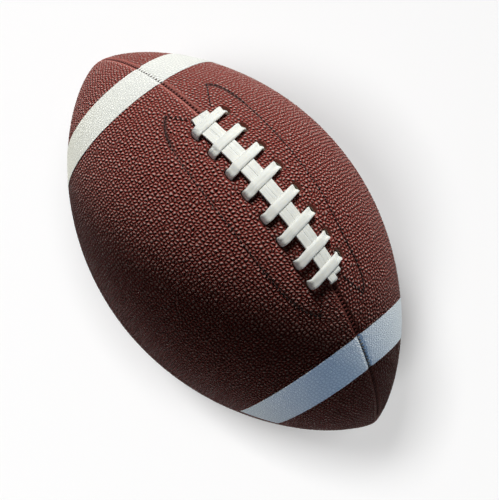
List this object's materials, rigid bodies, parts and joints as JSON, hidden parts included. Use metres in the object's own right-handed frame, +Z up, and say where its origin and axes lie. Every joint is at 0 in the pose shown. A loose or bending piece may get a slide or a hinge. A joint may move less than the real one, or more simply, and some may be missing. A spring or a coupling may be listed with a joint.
{
  "type": "american football",
  "caption": "Pointed oval leather ball of sewn panels round an air bladder, laced along the top seam, with printed white bands near the tips and an inflation valve.",
  "frame": {"origin": "under the middle of the belly, at the lowest level of the ball as it lies with the lacing up", "axes": "+X along the ball toward the tip nearest in the picture, +Y across the lacing, +Z up through the lacing"},
  "size_m": [0.281, 0.1712, 0.1759],
  "materials": {
    "leather": "pebbled reddish-brown leather, satin",
    "print": "white printed film over the leather's grain, satin",
    "lace": "white vinyl lace, satin",
    "seam_thread": "dark red waxed thread",
    "stitch_thread": "black sewing thread",
    "lining": "woven cotton lining",
    "facing": "plain undyed strip leather",
    "tongue": "coated canvas",
    "bladder": "smooth butyl rubber",
    "valve": "moulded black rubber"
  },
  "bodies": {
    "root": {"laced_panel_left": "leather", "laced_panel_right": "leather", "lower_panel_left": "leather", "lower_panel_right": "leather", "laced_panel_lining_left": "lining", "laced_panel_lining_right": "lining", "lower_panel_lining_left": "lining", "lower_panel_lining_right": "lining", "lace_facing_left": "facing", "lace_facing_right": "facing", "facing_stitch_left": "stitch_thread", "facing_stitch_right": "stitch_thread", "stripe_fore_left": "print", "stripe_fore_right": "print", "stripe_aft_left": "print", "stripe_aft_right": "print", "lace": "lace", "lace_tongue": "tongue", "bladder": "bladder", "valve_body": "valve", "valve_plug": "valve", "seam_thread_left": "seam_thread", "seam_thread_right": "seam_thread", "seam_thread_bottom": "seam_thread", "seam_thread_top_aft": "seam_thread", "seam_thread_top_fore": "seam_thread"}
  },
  "joints": []
}
